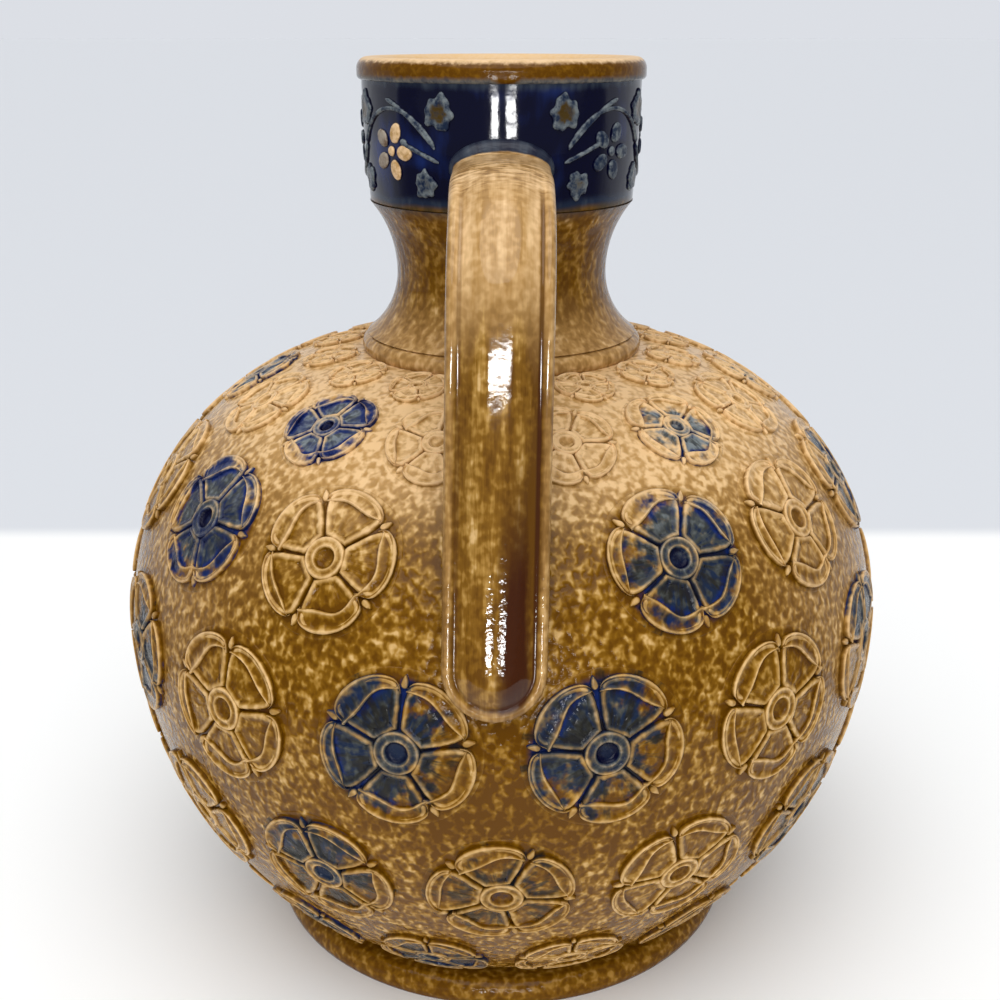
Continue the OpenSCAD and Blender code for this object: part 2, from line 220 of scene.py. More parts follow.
def lathe(name, profile, turns=224, sharp=32):  # a closed profile of radii and heights, turned on the wheel
    clay = Clay()
    angles = np.arange(turns) / turns * tau
    loops = []
    for r, z in profile:
        loops.append(clay.loop(np.column_stack([r * np.sin(angles), -r * np.cos(angles), np.full(turns, z)])))
    clay.skins(loops + loops[:1])
    return clay.build(name, sharp)


def arc(x, z, r, start, end, steps):  # points of a circle, from one angle to another
    return [(x + r * math.cos(a), z + r * math.sin(a)) for a in np.linspace(start, end, steps)]


def spaced(points, n):  # points at even distances along a line
    points = np.asarray(points, float)
    along = np.concatenate([[0], np.cumsum(np.linalg.norm(np.diff(points, axis=0), axis=1))])
    at = np.linspace(0, along[-1], n)
    return np.column_stack([np.interp(at, along, points[:, k]) for k in range(2)])


def inset(outline, depth):  # a closed anticlockwise outline, moved inwards
    along = np.roll(outline, -1, axis=0) - np.roll(outline, 1, axis=0)
    along /= np.linalg.norm(along, axis=1)[:, None]
    return outline + np.column_stack([-along[:, 1], along[:, 0]]) * depth


# Glazes, in linear colour
paint = dict(tanDark=(0.27, 0.140, 0.038), tanMid=(0.46, 0.265, 0.092), tanLight=(0.74, 0.49, 0.245),
             goldDark=(0.108, 0.041, 0.0010), goldMid=(0.190, 0.084, 0.004), goldLight=(0.36, 0.195, 0.036),
             fleck=(0.62, 0.40, 0.165), umber=(0.045, 0.010, 0.001), cream=(0.76, 0.53, 0.30),
             navy=(0.0006, 0.0010, 0.015), cobalt=(0.007, 0.021, 0.120), dusk=(0.011, 0.020, 0.046),
             olive=(0.060, 0.036, 0.008), moss=(0.060, 0.066, 0.062), pitch=(0.014, 0.012, 0.008),
             slate=(0.048, 0.062, 0.085), mist=(0.17, 0.195, 0.205), ash=(0.29, 0.29, 0.24))
shoulderThinAndLit = (0.134, 0.162)  # heights between which the glaze thins out and the shoulder is painted lighter, as painted light from above
handleSide = (-0.02, -0.06)  # from the middle of the jug towards the handle


def newGlaze(name):  # an empty material, its tree, and where a point lies
    material = bpy.data.materials.new(name)
    material.use_nodes = True
    material.node_tree.nodes.clear()
    tree = Tree(material.node_tree)
    return material, tree, *tree.place()


def fire(material, tree, colour, roughness, height, depth=0.0003, shine=0.13):
    normal = tree.add("ShaderNodeBump", None, {"Strength": 0.6, "Distance": depth, "Height": height})
    shader = tree.add("ShaderNodeBsdfPrincipled", None, {
        "Base Color": colour, "Roughness": roughness, "IOR": 1.5, "Specular IOR Level": shine,
        "Normal": normal})
    tree.add("ShaderNodeOutputMaterial", None, {"Surface": shader})
    return material


def flecks(tree, where):  # light drops in the salt glaze, 0 between them and 1 on them
    wobble = tree.noise(where, 500.0, 1.0, 0.5, "Color")
    moved = tree.add("ShaderNodeVectorMath", {"operation": "MULTIPLY_ADD"},
                     {0: wobble, 1: (0.0008, 0.0008, 0.0008), 2: where})
    drops = tree.noise(tree.stretched(moved, 1, 1, 0.85), 600.0, 1.0, 0.4)
    blots = tree.noise(where, 300.0, 1.0, 0.5)
    fine = tree.noise(where, 1700.0, 2.0, 0.6)
    patch = tree.noise(where, 90.0, 2.0, 0.5)
    tone = drops.ease(0.28, 0.80) * 0.92 + (blots - 0.5) * 0.18 + (fine - 0.5) * 0.12
    return (tone + (patch - 0.5) * 0.28).kept()


def mottled(tree, tone, gold):  # from pale tan stoneware to thick golden glaze
    tan = tree.ramp(tone, (0.0, "tanDark"), (0.45, "tanMid"), (1.0, "tanLight"))
    brown = tree.ramp(tone, (0.0, "goldDark"), (0.4, "goldMid"), (0.72, "goldLight"), (1.0, "fleck"))
    return tree.mix(gold, tan, brown)


def thickness(tree, where, x, y, z):  # where the glaze ran thick: by the handle's end and low on the belly
    drift = tree.noise(where, 24.0, 2.0)
    up = (z - 0.08) / 0.064
    side = (x - 0.006) / 0.066
    front = (up * up + side * side).ease(1.9, 0.2) * y.ease(*handleSide)
    # thinner, paler glaze up the shoulder, which also stands for painted light from above
    high = z.ease(*shoulderThinAndLit)
    return (front * 0.8 + z.ease(0.13, 0.04) * 0.5 - high
            - x.ease(0.04, 0.10) * 0.3 + (drift - 0.5) * 0.8 + 0.6).kept()


def bodyGlaze():
    material, tree, where, x, y, z = newGlaze("bodyGlaze")
    thick = thickness(tree, where, x, y, z)
    runs = tree.noise(tree.stretched(where, 480, 480, 120), 1.0, 2.0, 0.5)
    up, side = (z - 0.086) / 0.024, x / 0.026
    pool = (up * up + side * side).ease(1.6, 0.3) * y.ease(*handleSide)
    tone = flecks(tree, where) + (runs - 0.5) * thick * 0.45
    # painted light: the shoulder made lighter as if lit from above, over its thinner glaze
    tone = (tone + z.ease(*shoulderThinAndLit) * 0.5 - pool * 0.28).kept()
    return fire(material, tree, mottled(tree, tone, thick), tone.ease(0, 1, 0.12, 0.26), tone)


def neckGlaze():  # streaked, golden at the waist, with a grey hem under the collar
    material, tree, where, x, y, z = newGlaze("neckGlaze")
    runs = tree.noise(tree.stretched(where, 330, 330, 60), 1.0, 3.0, 0.6)
    tone = (flecks(tree, where) * 0.6 + (runs - 0.5) * 1.7 + 0.12).kept()
    gold = ((runs - 0.5) * 0.8 + z.ease(seatZ + 0.003, neckZ) * 0.9 + 0.1).kept()
    hem = (z + (runs - 0.5) * 0.004).ease(collarZ - 0.003, collarZ + 0.0015)
    colour = tree.mix(hem * 0.8, mottled(tree, tone, gold), "slate")
    return fire(material, tree, colour, tone.ease(0, 1, 0.12, 0.26), tone, 0.0002)


def footGlaze():
    material, tree, where, x, y, z = newGlaze("footGlaze")
    tone = flecks(tree, where) * 0.7
    colour = tree.mix(z.ease(0.0, 0.003), "goldDark", mottled(tree, tone, 1.0))
    return fire(material, tree, colour, tone.ease(0, 1, 0.10, 0.22), tone, 0.0002)


def lipGlaze():  # cream crest, golden roll under it, and a ragged pale fringe down to the blue
    material, tree, where, x, y, z = newGlaze("lipGlaze")
    runs = tree.noise(tree.stretched(where, 620, 620, 300), 1.0, 3.0, 0.7)
    specks = tree.noise(where, 750.0, 2.0, 0.6)
    outside = (x * x + y * y).root().ease(0.0342, 0.0350)
    drop = x.ease(-0.0030, 0.0010) * x.ease(0.0052, 0.0014) * y.ease(0, -0.01)
    level = z + (specks - 0.5) * 0.0012
    ragged = z + (runs - 0.5) * 0.0016 + drop * 0.0014
    roll = level.ease(rimZ + 0.0052, rimZ + 0.0041) * outside
    fringe = ragged.ease(rimZ + 0.0018, rimZ + 0.0004) * outside
    pale = tree.ramp(specks, (0.3, "tanLight"), (0.62, "cream"))
    colour = tree.mix(roll, pale, tree.mix(specks.ease(0.4, 0.8), "goldDark", "goldMid"))
    colour = tree.mix(fringe * 0.85, colour, tree.mix(runs.ease(0.3, 0.85), "slate", "ash"))
    return fire(material, tree, colour, roll.ease(0, 1, 0.4, 0.12), specks, 0.00012)


def collarGlaze():  # blue, paler at the lip, and run to brown at its lower edge
    material, tree, where, x, y, z = newGlaze("collarGlaze")
    runs = tree.noise(tree.stretched(where, 420, 420, 110), 1.0, 2.0, 0.5)
    cloud = tree.noise(where, 62.0, 2.0, 0.5)
    hem = (z + (cloud - 0.5) * 0.003 + (runs - 0.5) * 0.0014).ease(collarZ + 0.0052, collarZ - 0.0012)
    blue = tree.mix((cloud + (runs - 0.5) * 0.2).ease(0.52, 0.8), "navy", "cobalt")
    brown = mottled(tree, flecks(tree, where), 0.9)
    fringe = (z + (runs - 0.5) * 0.0022 + (cloud - 0.5) * 0.001).ease(rimZ - 0.0019, rimZ + 0.0004)
    colour = tree.mix(fringe, blue, tree.mix(runs.ease(0.35, 0.75), "dusk", "slate"))
    colour = tree.mix(hem.ease(0.1, 0.55), colour, tree.mix(runs.ease(0.45, 0.8), "dusk", "slate"))
    colour = tree.mix(hem.ease(0.55, 0.95), colour, tree.mix(runs.ease(0.3, 0.8), "olive", "goldMid"))
    colour = tree.mix((x * x + y * y).root().ease(0.0335, 0.0330), colour, brown)
    height = cloud + runs * 0.12 + tree.noise(where, 330.0) * 0.1
    return fire(material, tree, colour, hem.ease(0, 1, 0.07, 0.2), height, 0.0003, 0.3)


def reliefGlaze():  # worn pale tops, with the blue in between
    material, tree, where, x, y, z = newGlaze("reliefGlaze")
    worn = tree.noise(where, 460.0, 3.0, 0.65)
    warm, heart = tree.attribute("warm"), tree.attribute("heart")
    top = tree.mix((worn + warm * 0.12).ease(0.34, 0.68), "dusk", "mist")
    bare = tree.mix(worn.ease(0.3, 0.6), "tanMid", "cream")
    top = tree.mix(warm.kept(), top, bare)
    top = tree.mix((heart + (worn - 0.5) * 2.2).ease(0.3, 1.0), top, "olive")
    colour = tree.mix((tree.attribute("lift") + (worn - 0.5) * 0.9).ease(0.15, 0.65), "navy", top)
    return fire(material, tree, colour, 0.14, worn, 0.0002)


def rosetteGlaze():
    material, tree, where, x, y, z = newGlaze("rosetteGlaze")
    crest, deep, hold = tree.attribute("crest"), tree.attribute("deep"), tree.attribute("hold")
    flatX, flatY, cover = tree.attribute("flatX"), tree.attribute("flatY"), tree.attribute("cover")
    away = (flatX * flatX + flatY * flatY).root() + 0.05
    rays = tree.noise(tree.vector(flatX / away * 9.0, flatY / away * 9.0, away * 2.5), 1.0, 2.0, 0.6)
    hollow = 1.0 - crest
    tone = flecks(tree, where) * (hollow * 0.5 + 0.25) + (rays - 0.5) * hollow * 0.7
    thick = thickness(tree, where, x, y, z)
    cloud = tree.noise(where, 170.0, 3.0, 0.6)
    stain = cover.ease(0.0, 0.4) * thick  # blue on thick glaze
    # pale worn crests, and painted light: the rows on the shoulder made lighter as if lit from above
    light = crest * (thick * 0.3 - stain * 0.15 + 0.45) + z.ease(0.128, 0.158) * 0.4
    # darker where the relief is deep: pooled glaze and painted shade
    tone = (tone + light - deep * (thick * 0.4 + 0.2) + 0.12).kept()
    gold = (thick + deep * 0.45 - crest * 0.45 + 0.08).kept()
    pools = cloud + (rays - 0.5) * 0.8 + (0.6 - away) * 0.35
    pooledGlazeAndShade = stain * hollow * away.ease(0.17, 0.36) * pools.ease(0.36, 0.64) * 0.85  # dark in the hollows: pooled glaze and painted shade
    # umber in the grooves: pooled glaze and painted shade
    dark = (deep + (rays - 0.5)).ease(0.7, 1.2) * (thick * 0.6 + 0.2)
    plain = tree.mix(dark, mottled(tree, tone, gold), "umber")
    lean = flatX * tree.attribute("coverX") + flatY * tree.attribute("coverY") + cover
    wash = (lean + (cloud - 0.5) * 1.5 + (0.5 - away) * 0.6).ease(0.25, 0.95)
    grip = hold * 0.6 + (cloud - 0.5) * 0.9 + (cover - 0.5) * 0.5 + 0.2
    share = (wash * grip - (tone - 0.4) * wash * 0.2).ease(0.15, 0.7) * (hold * 6.0).kept()
    streaks = (tone + (rays - 0.5) * 0.7 - stain * 0.2).kept()
    film = tree.ramp(streaks, (0.0, "dusk"), (0.5, "moss"), (1.0, "mist"))
    full = tree.mix((cloud + deep * away.ease(0.35, 0.2, 0.1, 0.6)).ease(0.45, 0.9), "cobalt", "navy")
    strong = deep * 0.8 + (cloud - 0.5) * 1.6 + (cover - 0.8) * 1.2 - stain * 0.22 + 0.1
    blue = tree.mix(strong.ease(0.15, 0.7), film, full)
    colour = tree.mix(pooledGlazeAndShade, tree.mix(share, plain, blue), "pitch")
    return fire(material, tree, colour, tone.ease(0, 1, 0.12, 0.28), tone + rays * 0.4)


def strapGlaze():  # pale at the top, golden lower down, with a dark run at its end
    material, tree, where, x, y, z = newGlaze("strapGlaze")
    along, across, edge = tree.attribute("along"), tree.attribute("across"), tree.attribute("edge")
    runs = tree.noise(tree.vector(across * 3.6, along * 5.0, 0.0), 1.0, 4.0, 0.6)
    # painted shade: the strap darker towards its +x side lower down
    paintedSideShade = across.ease(-0.1, 0.7) * along.ease(0.4, 0.55) * 0.22
    tone = (flecks(tree, where) * 0.5 + (runs - 0.5) * 2.8 - paintedSideShade + 0.2).kept()
    scratch = tree.noise(tree.vector(across * 2.2, along * 140.0, 3.0), 1.0, 2.0, 0.6)
    top = along.ease(0.29, 0.20)
    pale = tree.ramp((tone * 0.75 + 0.15 + (scratch - 0.5) * top * 3.2).kept(), (0.0, "tanDark"),
                     (0.3, "tanMid"), (0.85, "tanLight"))
    wavy = along + (runs - 0.5) * 0.2
    fired = (wavy - edge * edge * 0.05).ease(0.34, 0.50)
    colour = tree.mix(fired, pale, mottled(tree, tone, 0.95))
    shade = (across - 0.36) * 2.8
    drip = (1.0 - shade * shade + (runs - 0.5) * 2.2).ease(0.0, 0.9)
    colour = tree.mix(drip * wavy.ease(0.60, 0.82), colour, "umber")
    ridged = along.ease(0.22, 0.29)
    colour = tree.mix(edge.ease(0.79, 0.88) * ridged * 0.8, colour, mottled(tree, tone, 0.25))
    groove = edge.ease(0.68, 0.73) * edge.ease(0.81, 0.77) * ridged
    shadow = tree.mix(fired, "goldDark", "umber")
    colour = tree.mix(groove * across.ease(-0.2, 0.2, 0.45, 0.9), colour, shadow)
    joint = (y + (runs - 0.5) * 0.001).ease(-0.0392, -0.0382)
    colour = tree.mix(joint, colour, tree.mix(runs.ease(0.3, 0.8), "navy", "slate"))
    pits = tree.noise(where, 800.0) * along.ease(0.6, 0.75, 0.06, 0.3)
    height = tone * 0.05 + scratch * top * 1.4 + pits
    return fire(material, tree, colour, along.ease(0.26, 0.36, 0.3, 0.05), height, 0.0002, 0.3)


def maskGlaze():
    material, tree, where, x, y, z = newGlaze("maskGlaze")
    crest, deep = tree.attribute("crest"), tree.attribute("deep")
    # lighter on the swellings where the glaze is thin, darker in the dips: pooled glaze and painted shade
    tone = (flecks(tree, where) * 0.4 + crest * 0.5 - deep * 0.5 + 0.25).kept()
    colour = mottled(tree, tone, (deep * 0.9 - crest * 0.3 + 0.35).kept())
    return fire(material, tree, colour, tone.ease(0, 1, 0.14, 0.28), tone, 0.0001)


glazes = dict(mask=maskGlaze(), body=bodyGlaze(), neck=neckGlaze(), foot=footGlaze(), lip=lipGlaze(),
              collar=collarGlaze(), relief=reliefGlaze(), rosette=rosetteGlaze(), strap=strapGlaze())
print("glazes:", len(glazes))


def settle(piece, glaze, slot, *nodes):  # the whole jug is fired to one body
    if glaze:
        piece.data.materials.append(glazes[glaze])
    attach(piece, "root")
    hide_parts(*nodes)


# Thrown pieces
def bodyProfile():
    inner = jug["shoulderR"] - jug["wall"]
    innerBelly = jug["bellyR"] - jug["wall"]
    floorZ = jug["footH"] + jug["floorT"]
    mouthR = lowX - math.sqrt((jug["neckLowR"] + jug["neckWall"]) ** 2 - jug["neckRise"] ** 2)
    floorAngle = math.asin((floorZ - jug["bodyZ"]) / innerBelly)
    outside = arc(bellyX, jug["bodyZ"], jug["bellyR"], -baseAngle, 0, 40)
    outside += arc(shoulderX, jug["bodyZ"], jug["shoulderR"], 0, seatAngle, 40)[1:]
    inside = arc(shoulderX, jug["bodyZ"], inner, math.acos((mouthR - shoulderX) / inner), 0, 26)
    inside += arc(bellyX, jug["bodyZ"], innerBelly, 0, floorAngle, 26)[1:]
    return [(0, jug["footH"])] + outside + [(mouthR, seatZ)] + inside + [(0, floorZ)]


def footProfile(edgeR=0.005, edgeZ=0.0026):
    x = baseR + jug["footOut"] - edgeR
    low, high = math.asin(-edgeZ / edgeR), math.asin((jug["footH"] - edgeZ) / edgeR)
    inner = baseR - jug["footLap"]
    return [(inner, 0)] + arc(x, edgeZ, edgeR, low, high, 20) + [(inner, jug["footH"])]


def neckProfile(ringEdge=0.003, ringTurn=1.25, groove=0.0002, grooveRise=0.0004):
    def waist(x, r, start, end, steps):
        return [(x - r * math.cos(a), neckZ + r * math.sin(a)) for a in np.linspace(start, end, steps)]

    ring = arc(jug["ringR"] - ringEdge, seatZ + ringEdge / 2, ringEdge, -math.pi / 6, ringTurn, 14)
    meetR, meetZ = ring[-1]
    lowStart = -math.asin((neckZ - meetZ - grooveRise) / jug["neckLowR"])
    outside = ring + [(meetR - groove, meetZ - groove * 0.4)] + waist(lowX, jug["neckLowR"], lowStart, 0, 18)
    outside += waist(upX, jug["neckUpR"], 0, math.asin(jug["neckTop"] / jug["neckUpR"]), 18)[1:]
    thickLow, thickUp = jug["neckLowR"] + jug["neckWall"], jug["neckUpR"] + jug["neckWall"]
    inside = waist(upX, thickUp, math.asin(jug["neckTop"] / thickUp), 0, 14)
    inside += waist(lowX, thickLow, 0, -math.asin(jug["neckRise"] / thickLow), 14)[1:]
    return outside + inside


def collarOut(z, slim=0.00034):  # outer radius of the collar at a height, a little less at its bend
    heights = [collarZ, collarZ + jug["taperH"], rimZ]
    return float(np.interp(z, heights, [jug["collarLowR"], jug["collarR"] - slim, jug["collarR"]]))


def collarProfile(edge=0.0006):
    throatR = upX - math.sqrt((jug["neckUpR"] + jug["neckWall"]) ** 2 - jug["neckTop"] ** 2)
    innerR = jug["collarR"] - jug["collarWall"]
    low = arc(jug["collarLowR"] - edge, collarZ + edge, edge, -math.pi / 2, 0, 6)
    bendZ = collarZ + jug["taperH"]
    bend = [(collarOut(z), z) for z in (bendZ - 0.002, bendZ, bendZ + 0.001)]
    return [(throatR, collarZ)] + low + bend + [(jug["collarR"], rimZ), (innerR, rimZ), (innerR, bendZ)]


def lipProfile(crownR=0.0028, edge=0.0011):
    innerR = jug["collarR"] - jug["collarWall"]
    low = arc(jug["rimR"] - edge, rimZ + edge, edge, -math.pi / 2, 0, 6)
    crown = arc((innerR + jug["rimR"]) / 2, topZ - crownR, crownR, 0, math.pi, 20)
    return [(innerR, rimZ)] + low + crown


settle(lathe("jugBody", bodyProfile()), "body", "brown_glaze", "body")
settle(lathe("footBand", footProfile()), "foot", "brown_glaze", "foot_ring")
settle(lathe("waistedNeck", neckProfile()), "neck", "brown_glaze", "neck")
settle(lathe("collarBand", collarProfile()), "collar", "cobalt_glaze", "collar")
settle(lathe("roundLip", lipProfile()), "lip", "tan_glaze", "rim")
print("thrown pieces done")

# Strap handle: its run, and half of its section in millimetres: across, outwards and into the groove
strap = dict(startY=-0.033, drop=0.025, bendY=-0.058, bendR=0.029, turn=math.radians(78), tail=0.076,
             lean=-0.0018, flare=0.10, lip=0.0031, lipL=0.0023, dent=0.00002, thin=0.0002, width=0.0114,
             half=[(0, 4.5, 0), (1.5, 4.47, 0), (3, 4.34, 0), (4.4, 4.16, 0.22), (5.7, 3.92, 0.64),
                   (6.8, 3.65, 1.12), (7.6, 3.4, 1.46), (8.15, 3.2, 1.64), (8.5, 3.06, 1.68),
                   (8.85, 2.9, 1.48), (9.25, 2.72, 1.0), (9.75, 2.42, 0.42), (10.3, 2.07, 0.12),
                   (10.8, 1.66, 0), (11.18, 1.15, 0), (11.38, 0.45, 0), (11.36, -0.4, 0), (11.05, -1.2, 0),
                   (10.4, -1.95, 0), (9.5, -2.6, 0), (9.0, -3.5, 0), (8.3, -4.2, 0), (7.3, -4.5, 0),
                   (3.6, -4.5, 0), (0, -4.5, 0)])


def strapPath():
    bendY, bendR = strap["bendY"], strap["bendR"]
    bendZ = topZ - strap["drop"] - bendR
    path = [(y, bendZ + bendR, math.pi / 2) for y in np.linspace(strap["startY"], bendY, 40)]
    for a in np.linspace(math.pi / 2, math.pi / 2 + strap["turn"], 48)[1:]:
        path.append((bendY + bendR * math.cos(a), bendZ + bendR * math.sin(a), a))
    y, z, a = path[-1]
    for run in np.linspace(0, strap["tail"], 60)[1:]:
        path.append((y - math.sin(a) * run, z + math.cos(a) * run, a))
    return np.array(path)


def strapHandle():
    half = np.array(strap["half"]) / 1000
    section = np.vstack([half, (half[1:-1] * [-1, 1, 1])[::-1]])
    path = strapPath()
    run = np.concatenate([[0], np.cumsum(np.linalg.norm(np.diff(path[:, :2], axis=0), axis=1))])
    total = run[-1] + strap["width"]
    clay = Clay("along", "across", "edge")

    def ring(y, z, a, far, points, forward=0.0):
        share = far / total
        close = math.exp(-(max(0.0, -collarOut(z) - y) / strap["lipL"]) ** 2) * (far < 0.02)  # by the collar
        groove = float(np.interp(share, [0.19, 0.29], [0, 1]))
        side = strap["lean"] * max(0.0, share - 0.3) / 0.7
        made, values = [], []
        for (x, n, cut), ahead in zip(points, np.broadcast_to(forward, len(points))):
            wave = math.sin(share * 23) + 0.8 * math.sin(share * 41 + 2 + 90 * x) - 1.8
            outer = max(0.0, n / 0.0045)
            n += (strap["dent"] * wave - strap["thin"] + strap["lip"] * close) * outer - cut * groove
            made.append((x * (1 + strap["flare"] * close) + side, y - math.sin(a) * ahead + n * math.cos(a),
                         z + math.cos(a) * ahead + n * math.sin(a)))
            values.append((far + ahead) / total)
        across = np.array([p[0] for p in points])
        flat = np.hypot(across, np.broadcast_to(forward, len(points)))
        width = strap["width"]
        return clay.loop(made, along=np.array(values), across=across / width, edge=flat / width)

    loops = [ring(y, z, a, far, section) for (y, z, a), far in zip(path, run)]
    clay.skins(loops)
    clay.cap(loops[0], np.mean([clay.verts[i] for i in loops[0]], axis=0))
    turned = []
    for g in np.linspace(math.pi / 2, -math.pi / 2, 41):  # half the section, turned round the strap's end
        points = [(x * math.sin(g), n, cut) for x, n, cut in half]
        turned.append(ring(*path[-1], run[-1], points, half[:, 0] * math.cos(g)))
    clay.skins(turned, False)
    return clay.build("strapHandle", 60)


settle(strapHandle(), "strap", "tan_glaze", "handle")
print("handle done")

# Rosettes: sizes of each row, and the mould they are pressed in, in shares of a rosette's radius.
# A step of a profile has its distance, height, light crest, dark hollow and hold on the blue; the dark hollow
# is pooled glaze and painted shade in the recesses.
sprig = dict(count=14, height=0.0014, names=["One", "Two", "Three", "Four", "Five", "Six"],
             places=[0.937, 0.733, 0.42, 0.03, -0.378, -0.756],
             sizes=[0.0155, 0.025, 0.0345, 0.037, 0.036, 0.029],
             root=0.25, tip=0.985, capY=0.60, capW=0.485, gap=0.008, gapOut=0.03, blend=0.16, petalPoints=48,
             heartY=0.33, sepalW=0.048, sepalL=0.09, sepalY=0.89, sepalPoint=0.4,
             folds=[(0.62, 0.06, 0.09, 0.04), (0.72, -0.05, 0.05, 0.02), (0.57, 0.02, 0.14, -0.05),
                    (0.64, -0.08, 0.10, 0.045), (0.69, 0.04, 0.06, -0.035)])
petalSteps = [(0, -0.35, 0, 1, 1), (0, 0.12, 0, 0.9, 1), (0.008, 0.45, 0.2, 0.4, 0.6),
              (0.022, 0.72, 0.55, 0, 0.25), (0.042, 0.84, 0.8, 0, 0.15), (0.064, 0.8, 0.6, 0, 0.25),
              (0.086, 0.68, 0.25, 0.12, 0.6), (0.108, 0.57, 0, 0.28, 0.9), (0.13, 0.52, 0, 0.12, 0.9)]
foldSteps = [(0, 0.05, 0, 0.9, 0.8), (0, 0.5, 0.2, 0.4, 0.4), (0.03, 0.88, 0.9, 0, 0.15),
             (0.10, 1.0, 1, 0, 0.1), (0.2, 0.86, 0.4, 0.1, 0.3), (0.42, 0.7, 0, 0.35, 0.5),
             (0.62, 0.72, 0, 0.3, 0.5), (0.8, 0.88, 0.4, 0.1, 0.3), (0.89, 1.0, 1, 0, 0.1),
             (0.96, 0.88, 0.6, 0.1, 0.3), (1.0, 0.5, 0.1, 0.8, 0.8), (1.0, 0.1, 0, 1, 1)]
padSteps = [(1.05, -0.35, 0, 0, 0), (1.05, 0.0, 0, 0, 0), (1.035, 0.05, 0, 0.05, 0), (1.01, 0.07, 0, 0.25, 0),
            (0.98, 0.07, 0, 0.5, 0), (0.92, 0.07, 0, 0.8, 0.1), (0.82, 0.07, 0, 1, 0.5),
            (0.7, 0.07, 0, 1, 0.95), (0.45, 0.07, 0, 1, 1), (0.2, 0.07, 0, 1, 1)]
bossSteps = [(0.295, -0.35, 0, 1, 1), (0.295, 0.25, 0, 1, 1), (0.29, 0.6, 0.3, 0.4, 0.7),
             (0.275, 0.9, 0.9, 0, 0.3), (0.258, 0.97, 1, 0, 0.2), (0.236, 0.88, 0.5, 0, 0.4),
             (0.21, 0.82, 0.2, 0.1, 0.5), (0.185, 0.85, 0.4, 0, 0.4), (0.163, 0.92, 0.9, 0, 0.25),
             (0.148, 0.85, 0.6, 0.1, 0.4), (0.132, 0.5, 0.1, 0.6, 1), (0.118, 0.2, 0, 0.75, 1),
             (0.07, 0.14, 0, 0.55, 1)]
sepalSteps = [(0, -0.35, 0, 1, 1), (0, 0.15, 0, 0.7, 0.7), (0.008, 0.5, 0.4, 0.1, 0.3),
              (0.022, 0.64, 0.7, 0, 0.1)]
rowSizes = {"Body Radius": jug["bodyR"], "Body Height": jug["bodyZ"], "Belly": jug["bellyR"],
            "Shoulder": jug["shoulderR"], "Relief": sprig["height"]}


def petalHalf():  # right side of a petal, from its root to its tip
    side = []
    for t in np.linspace(0, math.pi, 160):
        y = sprig["root"] + (sprig["tip"] - sprig["root"]) * (1 - math.cos(t)) / 2
        gap = sprig["gap"] + sprig["gapOut"] * max(0.0, y - 0.3) ** 1.3
        line = y * math.tan(tau / 10) - gap / math.cos(tau / 10)
        rise = max(0.0, y - sprig["capY"]) / (sprig["tip"] - sprig["capY"])
        cap = sprig["capW"] * math.sqrt(max(0.0, 1 - rise ** 2.3))
        blend = max(sprig["blend"] - abs(line - cap), 0.0) / sprig["blend"]
        side.append((max(0.0, min(line, cap) - blend * blend * sprig["blend"] / 4), y))
    return np.array(side)


def pressed(clay, points, step, turn, deepest=0.0):
    height, crest, deep, hold = step[1:]
    c, s = math.cos(turn), math.sin(turn)
    points = np.asarray(points)
    x, y = points[:, 0] * c - points[:, 1] * s, points[:, 0] * s + points[:, 1] * c
    rise = np.broadcast_to(height, len(points))
    deep = np.maximum(deep, deepest)
    where = np.column_stack([x, y, rise])
    return clay.loop(where, flatX=x, flatY=y, rise=rise, crest=crest, deep=deep, hold=hold)


def tip(clay, loop, point, step, turn):
    clay.fan(loop, pressed(clay, [point], step, turn)[0])


def turnedRing(clay, steps, points):
    angles = np.arange(points) / points * tau
    circle = np.column_stack([np.cos(angles), np.sin(angles)])
    loops = [pressed(clay, step[0] * circle, step, 0.0) for step in steps]
    clay.skins(loops)
    tip(clay, loops[-1], (0, 0), steps[-1], 0.0)


def petal(clay, half, turn, fold):
    base, tilt, bow, swing = fold
    outline = spaced(np.vstack([half, (half * [-1, 1])[::-1], half[:1]]), sprig["petalPoints"] + 1)[:-1]
    loops = [pressed(clay, inset(outline, step[0]), step, turn) for step in petalSteps]
    floor = inset(outline, petalSteps[-1][0])
    heart = np.column_stack([np.zeros(len(floor)), sprig["heartY"] + 0.5 * (floor[:, 1] - sprig["heartY"])])
    outer = half[half[:, 1] > base]
    reach = outer[0, 0]

    def foldLine(x):
        wave = np.clip(x / reach, -1, 1)
        return base + tilt * wave + bow * (1 - wave ** 2) + swing * np.sin(math.pi * wave)

    for share, rise in ((0.85, 0.5), (0.68, 0.52), (0.5, 0.55), (0.32, 0.57), (0.15, 0.58)):
        points = heart + (floor - heart) * share
        shade = np.clip(1 - (foldLine(points[:, 0]) - points[:, 1]) / 0.10, 0, 1)
        loops.append(pressed(clay, points, (0, rise, 0, 0, 0.85), turn, shade))
    clay.skins(loops)
    tip(clay, loops[-1], np.mean(heart, axis=0), (0, 0.58, 0, 0, 0.85), turn)
    outer = spaced(np.vstack([outer, (outer * [-1, 1])[::-1]]) * [1.012, 1.006], 27)
    inner = np.column_stack([outer[:, 0] * 0.96, foldLine(outer[:, 0])])
    strips = [pressed(clay, outer + (inner - outer) * step[0], step, turn) for step in foldSteps]
    clay.skins(strips + strips[:1], False)
    for end in (0, -1):
        clay.faces.append(tuple(strip[end] for strip in strips))


